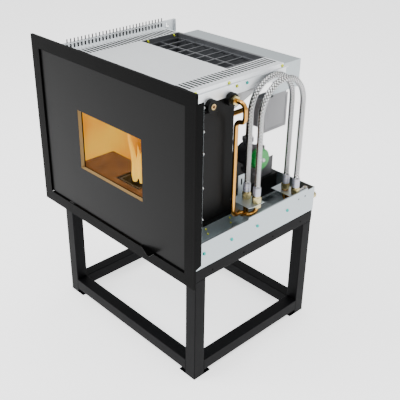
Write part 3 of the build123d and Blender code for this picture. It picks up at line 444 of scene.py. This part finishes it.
def make_hearth_firelight():
    """A brown hearth, faintly glowing with painted firelight in patches."""
    material, tree, shader = start_material("firelit_hearth")
    shader.inputs["Base Color"].default_value = (0.06, 0.035, 0.02, 1)
    shader.inputs["Roughness"].default_value = 0.9
    shader.inputs["Specular IOR Level"].default_value = 0.05
    shader.inputs["Emission Strength"].default_value = 0.3
    coordinates = tree.nodes.new("ShaderNodeTexCoord")
    firelight_patches = tree.nodes.new("ShaderNodeTexNoise")
    firelight_patches.inputs["Scale"].default_value = 22
    firelight_patches.inputs["Detail"].default_value = 4
    link(tree, coordinates.outputs["Object"], firelight_patches.inputs["Vector"])
    stops = ((0.3, (0.32, 0.12, 0.04)), (0.7, (0.7, 0.3, 0.11)))
    link(tree, colour_ramp(tree, stops, firelight_patches.outputs["Fac"]), shader.inputs["Emission Color"])
    return material


def make_flame():
    """Flames: yellow at the foot, amber above, orange at the tips."""
    material, tree, shader = start_material("flame_tongues")
    coordinates = tree.nodes.new("ShaderNodeTexCoord")
    axes = tree.nodes.new("ShaderNodeSeparateXYZ")
    link(tree, coordinates.outputs["Object"], axes.inputs[0])
    rise = math_node(tree, "MULTIPLY", math_node(tree, "SUBTRACT", axes.outputs[2], 0.6), 5)
    stops = ((0.0, (1, 0.66, 0.09)), (0.5, (1, 0.52, 0.03)), (1.0, (0.95, 0.34, 0.01)))
    link(tree, colour_ramp(tree, stops, rise), shader.inputs["Emission Color"])
    shader.inputs["Base Color"].default_value = (0.2, 0.1, 0.02, 1)
    shader.inputs["Emission Strength"].default_value = 1.25
    return material


def make_finishes():
    """Every finish on the object, by name."""
    surface = make_surface_group()
    spangle = make_spangle_group()
    drawn = make_drawn_group()

    def coat(name, colour, gloss, tone=0.25, grain=900, relief=0.25, metallic=0, shine=0.5):
        values = {"Colour": colour, "Tone Spread": tone, "Gloss": gloss, "Grain Scale": grain}
        values["Gloss Spread"] = 0.12
        return grouped_material(name, surface, values, metallic, relief, shine)

    def zinc(name, colour, contrast, gloss):
        values = {"Colour": colour, "Contrast": contrast, "Gloss": gloss, "Crystal Scale": 160}
        return grouped_material(name, spangle, values, 0.85, 0.03)

    def metal(name, colour, contrast, gloss, stretch):
        values = {"Colour": colour, "Contrast": contrast, "Gloss": gloss, "Stretch": stretch}
        return grouped_material(name, drawn, values, 1, 0.08)

    return {
        "stand_black": coat("stand_powder_black", (0.003, 0.003, 0.0035), 0.5, shine=0.06),
        "surround_black": coat("surround_powder_black", (0.0015, 0.0015, 0.0015), 0.45, shine=0.03),
        "front_steel": coat("stove_paint", (0.016, 0.013, 0.011), 0.55, shine=0.12),
        "door_black": coat(
            "door_black_glass", (0.003, 0.003, 0.003), 0.3, tone=0.05, relief=0.01, shine=0.065
        ),
        "jacket_black": coat("boiler_paint", (0.004, 0.004, 0.004), 0.4, shine=0.09),
        "cast_iron": coat("sooty_cast_iron", (0.07, 0.06, 0.052), 0.75, tone=0.5, grain=350, relief=0.7),
        # One zinc in two copies: the sheet's copy is darker as painted shade, the deck's copy lighter as
        # painted light on the top.
        "zinc": zinc("zinc_shaded_copy", (0.43, 0.48, 0.5), 0.06, 0.36),
        "zinc_deck": zinc("zinc_deck_lit_copy", (0.84, 0.87, 0.89), 0.04, 0.42),
        "hopper_steel": coat("hopper_sheet", (0.13, 0.135, 0.145), 0.36, tone=0.3, metallic=0.7),
        "auger_steel": metal("bare_steel", (0.56, 0.55, 0.53), 0.25, 0.33, (500, 20, 500)),
        "motor_grey": coat("grey_coat", (0.24, 0.24, 0.25), 0.4, tone=0.12),
        "pump_green": coat("green_pump_head", (0.015, 0.4, 0.06), 0.32, tone=0.3),
        "pump_iron": coat("pump_casting", (0.035, 0.036, 0.04), 0.5, tone=0.4, grain=450, relief=0.6),
        "copper": metal("bright_copper", (0.52, 0.26, 0.06), 0.3, 0.2, (300, 300, 10)),
        "brass": metal("pale_brass", (0.5, 0.42, 0.2), 0.2, 0.28, (40, 40, 700)),
        "braid": make_braid(),
        "glass": make_glass(),
        "glow": make_glow(),
        "flame": make_flame(),
        # The hearth's brown glow is painted firelight.
        "embers": make_hearth_firelight(),
        "ferrule": coat("ferrule_steel", (0.46, 0.47, 0.56), 0.35, tone=0.12, metallic=0.5),
        "bronze": metal("dark_bronze", (0.42, 0.24, 0.11), 0.3, 0.3, (40, 40, 700)),
        "teal": metal("teal_passivate", (0.02, 0.42, 0.38), 0.2, 0.32, (90, 90, 90)),
        "yellow": metal("yellow_passivate", (0.55, 0.6, 0.03), 0.3, 0.32, (90, 90, 90)),
        "rivet": metal("light_rivet", (0.85, 0.86, 0.86), 0.1, 0.3, (90, 90, 90)),
        "reveal": coat("firelit_reveal", (0.34, 0.23, 0.1), 0.5, tone=0.2, relief=0.02, shine=0.2),
        # Near-black without gloss: painted shade for holes, slots and gaps.
        "hole": coat("painted_gap_shade", (0.004, 0.004, 0.004), 0.8, relief=0.1, shine=0),
        "rope": coat("seal_rope", (0.3, 0.29, 0.27), 0.9, tone=0.6, grain=1500, relief=1),
    }


# Pieces


def running_lengths(points):
    """Distance from the start of a line to each of its points."""
    lengths = [0]
    for a, b in zip(points, points[1:]):
        lengths.append(lengths[-1] + (b - a).length)
    return lengths


def extruded(shape, edges, move):
    """Extrude edges, move the new ones and give them back."""
    made = bmesh.ops.extrude_edge_only(shape, edges=edges)["geom"]
    corners = [v for v in made if isinstance(v, bmesh.types.BMVert)]
    bmesh.ops.translate(shape, verts=corners, vec=move)
    fresh = [e for e in made if isinstance(e, bmesh.types.BMEdge)]
    return [e for e in fresh if e.verts[0] in corners and e.verts[1] in corners]


def corners_of(edges):
    """The corners of some edges, each once."""
    return list({v for e in edges for v in e.verts})


def join_into(shape, extra):
    """Add a bmesh to another one and free it."""
    mesh = bpy.data.meshes.new("joined")
    extra.to_mesh(mesh)
    extra.free()
    shape.from_mesh(mesh)
    bpy.data.meshes.remove(mesh)


def route_line(name):
    """The smooth line of one hose, read from its NURBS spline."""
    curve = bpy.data.curves.new(name + "_route", "CURVE")
    curve.dimensions = "3D"
    spline = curve.splines.new("NURBS")
    spline.points.add(len(HOSE_ROUTE) - 1)
    for point, (y, z) in zip(spline.points, HOSE_ROUTE):
        point.co = (*at(HOSE_X[name], y, z), 1)
    spline.order_u = 3
    spline.use_endpoint_u = True
    spline.resolution_u = 40
    holder = bpy.data.objects.new(name + "_route", curve)
    line = bpy.data.meshes.new_from_object(holder)
    points = [v.co.copy() for v in line.vertices]
    bpy.data.objects.remove(holder)
    return points


def point_along(points, lengths, distance):
    """Place and direction at a distance along a line of points."""
    i = 1
    while i < len(points) - 1 and lengths[i] < distance:
        i += 1
    step = lengths[i] - lengths[i - 1]
    share = (distance - lengths[i - 1]) / step
    direction = (points[i] - points[i - 1]).normalized()
    return points[i - 1].lerp(points[i], share), direction


def make_hose(name, finish):
    """A braided hose: a straight tube with its braid UVs, laid along the route."""
    points = route_line(name)
    lengths = running_lengths(points)
    total = lengths[-1]
    radius = HOSE_RADIUS * MM
    tube = bmesh.new()
    bmesh.ops.create_circle(tube, segments=HOSE_SIDES, radius=radius)
    ring = tube.edges[:]
    uv = tube.loops.layers.uv.new("braid")
    step = total / HOSE_RINGS
    for _ in range(HOSE_RINGS):
        ring = extruded(tube, ring, (0, 0, step))
    around = 2 * math.pi * HOSE_RADIUS / WIRE_WIDTH
    for face in tube.faces:
        angles = [math.atan2(c.vert.co.y, c.vert.co.x) for c in face.loops]
        wraps = max(angles) - min(angles) > math.pi
        for corner, angle in zip(face.loops, angles):
            if wraps and angle < 0:
                angle += 2 * math.pi
            corner[uv].uv = (angle / (2 * math.pi) * around, corner.vert.co.z / MM / WIRE_WIDTH)
    sideways = Vector((1, 0, 0))
    for vert in tube.verts:
        place, direction = point_along(points, lengths, min(max(vert.co.z, 0), total))
        outwards = sideways.cross(direction)
        vert.co = place + sideways * vert.co.x + outwards * vert.co.y
    ends = [e for e in tube.edges if e.is_boundary]
    bmesh.ops.holes_fill(tube, edges=ends, sides=HOSE_SIDES)
    hose = add_piece(name + "_braided", tube, None, finish)
    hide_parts(name)
    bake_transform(hose)
    return hose


def screw_into(shape, place, axis, radius):
    """A low tapered screw head with a sunk middle, facing along an axis."""
    head = bmesh.new()
    high = radius * 0.6
    bmesh.ops.create_cone(
        head, cap_ends=True, segments=SCREW_SIDES, radius1=radius, radius2=radius * 0.72, depth=high
    )
    top = max(head.faces, key=lambda f: f.calc_center_median().z)
    bmesh.ops.inset_individual(head, faces=[top], thickness=radius * 0.3)
    bmesh.ops.translate(head, verts=top.verts, vec=(0, 0, -radius * 0.25))
    bmesh.ops.translate(head, verts=head.verts, vec=(0, 0, high / 2))
    turn = Vector(axis).to_track_quat("Z", "Y").to_matrix().to_4x4()
    bmesh.ops.transform(head, matrix=Matrix.Translation(place) @ turn, verts=head.verts)
    join_into(shape, head)


def screws(name, places, axis, radius, body, finish):
    """One piece with a screw head at each place."""
    shape = bmesh.new()
    for place in places:
        screw_into(shape, place, axis, radius * MM)
    return add_piece(name, shape, body, finish)


def make_screws(finishes):
    """Every screw and rivet head, row by row."""
    right, left, back = (1, 0, 0), (-1, 0, 0), (0, 1, 0)

    def row(name, places, axis, radius, finish, body="insert"):
        screws(name, [at(*place) for place in places], axis, radius, body, finishes[finish])

    for side, axis in (("right", right), ("left", left)):
        places = [(axis[0] * SIDE_FACE, y, TRAY_SCREW_LEVEL) for y in TRAY_SCREWS]
        row("tray_screws_" + side, places, axis, 6, "teal", "base")
    places = [(DECK_EDGE, y, DECK_SCREW_LEVEL) for y in DECK_SCREWS]
    row("deck_edge_screws", places, right, 5.5, "yellow")
    for tint, y in PANEL_SCREWS.items():
        row("panel_screw_" + tint, [(BODY_SIDE, y, PANEL_SCREW_LEVEL)], right, 5.5, tint)
    row("foot_screws", [(BODY_SIDE, *place) for place in FOOT_SCREWS], right, 3.5, "yellow")
    places = [(HOPPER_WALL, y, HOPPER_SCREW_LEVEL) for y in HOPPER_SCREWS]
    row("hopper_screws", places, right, 4.5, "yellow")
    row("rear_cover_screws", [(x, COVER_BACK, z) for x, z in COVER_SCREWS], back, 4, "teal")
    row("front_edge_rivets", [(*RIVET_LINE, z) for z in RIVET_LEVELS], back, 5.5, "rivet")
    places = [(CONTROL_BOX_SIDE, *place) for place in CONTROL_BOX_SCREWS]
    row("control_box_screws", places, left, 3, "teal")
    row("pump_vent_screw", [PUMP_VENT], right, 8, "rivet")


def plates(name, boxes, body, finish):
    """One piece made of flat plates, each given by its two corners."""
    shape = bmesh.new()
    for low, high in boxes:
        made = bmesh.ops.create_cube(shape, size=1)["verts"]
        bmesh.ops.scale(shape, vec=at(*high) - at(*low), verts=made)
        bmesh.ops.translate(shape, vec=(at(*low) + at(*high)) / 2, verts=made)
    return add_piece(name, shape, body, finish, smooth=False)


def make_slot_shades(finishes):
    """Painted shade for the slots: a dark sheet under the deck with a dark rib filling each deck slot,
    and dark marks for the tall panel's slots.
    """
    slots = [SLOT_FIRST + SLOT_PITCH * step for step in range(SLOT_COUNT)]
    front, back = SHADE_ENDS
    shade = [((x, front, SHADE_LEVEL - 1), (x + SHADE_WIDTH, back, SHADE_LEVEL)) for x in SHADE_SIDES]
    for y in slots:
        for x in SLOT_SIDES:
            slot_shade_foot = (x, y - SLOT_HALF, SHADE_LEVEL)
            shade.append((slot_shade_foot, (x + SLOT_LENGTH, y + SLOT_HALF, SLOT_SHADE_TOP)))
    plates("vent_painted_shade", shade, "insert", finishes["hole"])
    # Dark marks on the tall left panel, painted as the shade in its slots.
    panel_slot_shade = [((-284.3, y - 2.4, z), (-283.9, y + 2.4, z + 14)) for y in slots for z in (996, 1015)]
    plates("left_panel_slot_shade", panel_slot_shade, "insert", finishes["hole"])


def make_plates(finishes):
    """Thin linings, trims and flanges that only show as lines and shades; the window reveal's lining
    carries painted firelight, and the flange under the door opening is painted shade.
    """
    trim = [((393, 30.2, 560), (398.4, 31.8, 992))]
    plates("front_edge_trim", trim, "insert", finishes["zinc"])
    # A dark flange under the door opening, painted shade where the space behind would show.
    flange = [((x, 2, 455.2), (x + 107, 26.5, 456.8)) for x in (-357.5, 250.5)]
    plates("low_opening_shade_flange", flange, "insert", finishes["hole"])
    # The window reveal's strips are coloured with painted firelight.
    front, back, half = 6.5, 19.7, 161.6
    reveal = [((x, front, 621.6), (x + 0.3, back, 830.9)) for x in (-half - 0.3, half)]
    reveal += [((-half, front, z), (half, back, z + 0.3)) for z in (621.4, 830.8)]
    plates("window_reveal", reveal, "door", finishes["reveal"])
    plates("catch_leaf", [((327, 8, 993.85), (355, 25, 994.3))], "insert", finishes["rivet"])


def disc_into(shape, place, radius, thickness):
    """A thin disc that faces along X."""
    turn = Matrix.Translation(place) @ Matrix.Rotation(math.radians(90), 4, "Y")
    disc = bmesh.new()
    bmesh.ops.create_cone(
        disc, cap_ends=True, segments=HOLE_SIDES, radius1=radius, radius2=radius, depth=thickness
    )
    bmesh.ops.transform(disc, matrix=turn, verts=disc.verts)
    join_into(shape, disc)


def make_holes(finishes):
    """Small round holes in the stand's side and the tray, shown as dark discs of painted shade."""
    shape = bmesh.new()
    for x in (SIDE_FACE, -SIDE_FACE):
        for y, z in STAND_HOLES + TRAY_HOLES:
            disc_into(shape, at(x, y, z), HOLE_RADIUS * MM, 0.6 * MM)
    add_piece("side_hole_shades", shape, "base", finishes["hole"])


def make_plug(finishes):
    """The dark bore of the front port's plug, a disc of painted shade, and its bronze washer."""
    y, z = PORT
    hole = bmesh.new()
    disc_into(hole, at(PLUG_FACE, y, z), PLUG_BORE * MM, WASHER_THICK * MM)
    add_piece("plug_bore_shade", hole, "insert", finishes["hole"])
    washer = bmesh.new()
    bmesh.ops.create_circle(washer, segments=HOLE_SIDES, radius=WASHER_BORE * MM)
    rim = extruded(washer, washer.edges[:], (0, 0, 0))
    grow = WASHER_RADIUS / WASHER_BORE
    bmesh.ops.scale(washer, vec=(grow, grow, 1), verts=corners_of(rim))
    bmesh.ops.recalc_face_normals(washer, faces=washer.faces)
    bmesh.ops.solidify(washer, geom=washer.faces, thickness=WASHER_THICK * MM)
    middle = sum(v.co.z for v in washer.verts) / len(washer.verts)
    bmesh.ops.translate(washer, vec=(0, 0, -middle), verts=washer.verts)
    turn = Matrix.Translation(at(WASHER_FACE, y, z)) @ Matrix.Rotation(math.radians(90), 4, "Y")
    bmesh.ops.transform(washer, matrix=turn, verts=washer.verts)
    add_piece("plug_ring", washer, "insert", finishes["bronze"])


def make_hooks(finishes):
    """Short hooked slots along the front of the boiler's side, as dark plates of painted shade."""
    hooks = []
    for z in HOOK_LEVELS:
        for y, high, long in ((42, 6, 4), (46, 3, 9)):
            hooks.append(((276.7, y - long / 2, z - high / 2), (277.7, y + long / 2, z + high / 2)))
    plates("hanging_slot_shades", hooks, "insert", finishes["hole"])


def band(name, x, y, z0, z1, radius, body, finish, ribs=0):
    """A collar round an upright hose end, with rolled grooves."""
    shape = bmesh.new()
    levels = 2 + 4 * ribs
    wide, high = radius * MM, (z1 - z0) * MM
    bmesh.ops.create_cone(shape, cap_ends=False, segments=40, radius1=wide, radius2=wide, depth=high)
    uprights = [e for e in shape.edges if abs(e.verts[0].co.z - e.verts[1].co.z) > 1e-6]
    bmesh.ops.subdivide_edges(shape, edges=uprights, cuts=levels)
    for vert in shape.verts:
        share = vert.co.z / high + 0.5
        swell = 1 - 0.035 * max(0, math.sin(share * math.pi * 2 * ribs)) if ribs else 1
        if share < 0.01 or share > 0.99:
            swell = 0.93
        vert.co.x *= swell
        vert.co.y *= swell
    for end in (min, max):
        level = end(v.co.z for v in shape.verts)
        rim = [e for e in shape.edges if all(abs(v.co.z - level) < 1e-7 for v in e.verts)]
        inner = extruded(shape, rim, (0, 0, 0))
        bmesh.ops.scale(shape, vec=(0.7, 0.7, 1), verts=corners_of(inner))
    bmesh.ops.translate(shape, vec=at(x, y, (z0 + z1) / 2), verts=shape.verts)
    return add_piece(name, shape, body, finish)


def make_hose_ends(finishes):
    """Crimped ferrules over the hose ends, and dark rings under the rear nuts."""
    steel, dark = finishes["ferrule"], finishes["bronze"]
    for hose, x in HOSE_X.items():
        label = hose.removeprefix("hose_")
        band("front_ferrule_" + label, x, HOSE_FRONT, 590.5, 622, FERRULE_RADIUS, "insert", steel, 3)
        band("rear_ferrule_" + label, x, HOSE_REAR, 549.5, 586, FERRULE_RADIUS, "base", steel, 3)
        band("rear_ring_" + label, x, HOSE_REAR, 525, 530.8, RING_RADIUS, "base", dark)


def glow_line():
    """Plan of the lit chamber walls, from the front left round to the front right."""
    line = [(-GLOW_HALF, GLOW_FRONT), (-GLOW_HALF, (GLOW_FRONT + GLOW_DEEP) / 2)]
    for side, first in ((-1, 180), (1, 90)):
        for step in range(7):
            angle = math.radians(first - 15 * step)
            x = side * (GLOW_HALF - GLOW_CORNER) + GLOW_CORNER * math.cos(angle)
            line.append((x, GLOW_DEEP - GLOW_CORNER + GLOW_CORNER * math.sin(angle)))
    return line + [(GLOW_HALF, (GLOW_FRONT + GLOW_DEEP) / 2), (GLOW_HALF, GLOW_FRONT)]


def make_glow_lining(finishes):
    """A sheet of firelight just inside the chamber walls, doubled to face both ways."""
    shape = bmesh.new()
    corners = [shape.verts.new(at(x, y, GLOW_LEVELS[0])) for x, y in glow_line()]
    edges = [shape.edges.new(pair) for pair in zip(corners, corners[1:])]
    for low, high in zip(GLOW_LEVELS, GLOW_LEVELS[1:]):
        edges = extruded(shape, edges, (0, 0, (high - low) * MM))
    bmesh.ops.solidify(shape, geom=shape.faces, thickness=0)
    add_piece("fire_glow", shape, "insert", finishes["glow"])


def make_hearth_glow(finishes):
    """The firelit hearth round the burn pot, as a thin frame."""
    half, low, high = POT_HALF, 600.5, 601
    sides = [
        ((-234, 34, low), (-half, 196, high)),
        ((half, 34, low), (234, 196, high)),
        ((-half, 34, low), (half, POT_DEEP - half, high)),
    ]
    plates("hearth_glow", sides, "insert", finishes["embers"])


def flame_into(shape, x, y, high, radius, lean, sway):
    """One tongue of flame: a round bar drawn out to a tip that leans and sways."""
    flame = bmesh.new()
    bmesh.ops.create_cone(flame, cap_ends=True, segments=FLAME_SIDES, radius1=1, radius2=1, depth=1)
    uprights = [e for e in flame.edges if abs(e.verts[0].co.z - e.verts[1].co.z) > 0.5]
    bmesh.ops.subdivide_edges(flame, edges=uprights, cuts=FLAME_RINGS - 1)
    for vert in flame.verts:
        rise = vert.co.z + 0.5
        swell = radius * (max(1 - rise, 0) ** 0.75 * (0.75 + 0.7 * math.sin(2.6 * rise)) + 0.02)
        shift = lean * rise + sway * math.sin(7 * rise + x)
        vert.co = at(x + shift + swell * vert.co.x, y + swell * vert.co.y, FLAME_FOOT + high * rise)
    join_into(shape, flame)


def make_flames(finishes):
    """Tapered tongues of flame that rise from the burn pot."""
    shape = bmesh.new()
    for flame in FLAMES:
        flame_into(shape, *flame)
    add_piece("flame_tongues", shape, "insert", finishes["flame"])


def line_piece(name, places, radius, body, finish):
    """A thin round cord laid through places and closed on itself."""
    curve = bpy.data.curves.new(name, "CURVE")
    curve.dimensions = "3D"
    spline = curve.splines.new("POLY")
    spline.points.add(len(places) - 1)
    for point, place in zip(spline.points, places):
        point.co = (*place, 1)
    spline.use_cyclic_u = True
    curve.bevel_depth = radius * MM
    holder = bpy.data.objects.new(name + "_line", curve)
    mesh = bpy.data.meshes.new_from_object(holder)
    shape = bmesh.new()
    shape.from_mesh(mesh)
    bpy.data.objects.remove(holder)
    bpy.data.meshes.remove(mesh)
    return add_piece(name, shape, body, finish)


def make_door_seal(finishes):
    """Rope seal round the back of the window tunnel."""
    r = SEAL_CORNER
    x = SEAL_HALF - r
    low, high = SEAL_LEVELS[0] + r, SEAL_LEVELS[1] - r
    places = []
    for cx, cz, start in ((x, high, 0), (-x, high, 90), (-x, low, 180), (x, low, 270)):
        for step in range(7):
            angle = math.radians(start + 15 * step)
            places.append(at(cx + r * math.cos(angle), SEAL_BACK, cz + r * math.sin(angle)))
    line_piece("window_seal", places, SEAL_RADIUS, "door", finishes["rope"])


def make_lever_edge(finishes):
    """A bright line along the edge of the latch lever."""
    places = [at(x, y, LEVER_LEVEL) for x, y in LEVER_OUTLINE]
    line_piece("lever_edge", places, 0.9, "latch_lever", finishes["rivet"])


def make_stage():
    """Pale floor, soft sky and lights."""
    floor = bmesh.new()
    bmesh.ops.create_grid(floor, x_segments=1, y_segments=1, size=30)
    material, tree, shader = start_material("pale_floor")
    tint = tree.nodes.new("ShaderNodeTexNoise")
    tint.inputs["Scale"].default_value = 0.6
    stops = ((0, (0.88, 0.88, 0.89)), (1, (0.91, 0.91, 0.91)))
    link(tree, colour_ramp(tree, stops, tint.outputs["Fac"]), shader.inputs["Base Color"])
    shader.inputs["Roughness"].default_value = 0.7
    shader.inputs["Emission Color"].default_value = (1, 1, 1, 1)
    shader.inputs["Emission Strength"].default_value = 1.4
    piece = add_piece("studio_floor", floor, None, material)
    world = bpy.data.worlds.new("studio")
    world.use_nodes = True
    world.node_tree.nodes["Background"].inputs["Color"].default_value = (1, 1, 1, 1)
    world.node_tree.nodes["Background"].inputs["Strength"].default_value = 1.0
    bpy.context.scene.world = world
    lamps = (
        ("key", (-1400, -2300, 2900), 2.2, 120),
        ("side", (3300, 600, 2600), 2.6, 22),
        ("top", (200, 600, 3600), 3.0, 85),
    )
    for name, place, size, power in lamps:
        lamp = bpy.data.lights.new(name, "AREA")
        lamp.size = size
        lamp.energy = power
        holder = bpy.data.objects.new(name, lamp)
        holder.location = at(*place)
        aim = at(0, 250, 600) - holder.location
        holder.rotation_euler = aim.to_track_quat("-Z", "Y").to_euler()
        bpy.context.scene.collection.objects.link(holder)


def make_camera():
    """The photograph's camera."""
    camera = bpy.data.cameras.new("camera")
    camera.lens = LENS
    camera.sensor_width = SENSOR
    camera.shift_x, camera.shift_y = SHIFT
    holder = bpy.data.objects.new("camera", camera)
    holder.location = at(*CAMERA_AT)
    flat = math.cos(CAMERA_PITCH)
    forward = Vector((math.sin(CAMERA_YAW) * flat, math.cos(CAMERA_YAW) * flat, math.sin(CAMERA_PITCH)))
    holder.rotation_euler = forward.to_track_quat("-Z", "Y").to_euler()
    bpy.context.scene.collection.objects.link(holder)
    bpy.context.scene.camera = holder


def dress_cad_nodes(finishes):
    """Give each carried-over CAD node its finish, from its record slot."""
    for part in frame["record"]["subparts"]:
        node = frame["nodes"][part["node"]]
        node.data.materials.clear()
        node.data.materials.append(finishes[part["material_slot"]])


finishes = make_finishes()
make_camera()
make_stage()
dress_cad_nodes(finishes)
for hose in HOSE_X:
    make_hose(hose, finishes["braid"])
make_hose_ends(finishes)
make_screws(finishes)
make_hooks(finishes)
make_slot_shades(finishes)
make_plates(finishes)
make_holes(finishes)
make_plug(finishes)
make_lever_edge(finishes)
make_glow_lining(finishes)
make_hearth_glow(finishes)
make_flames(finishes)
make_door_seal(finishes)
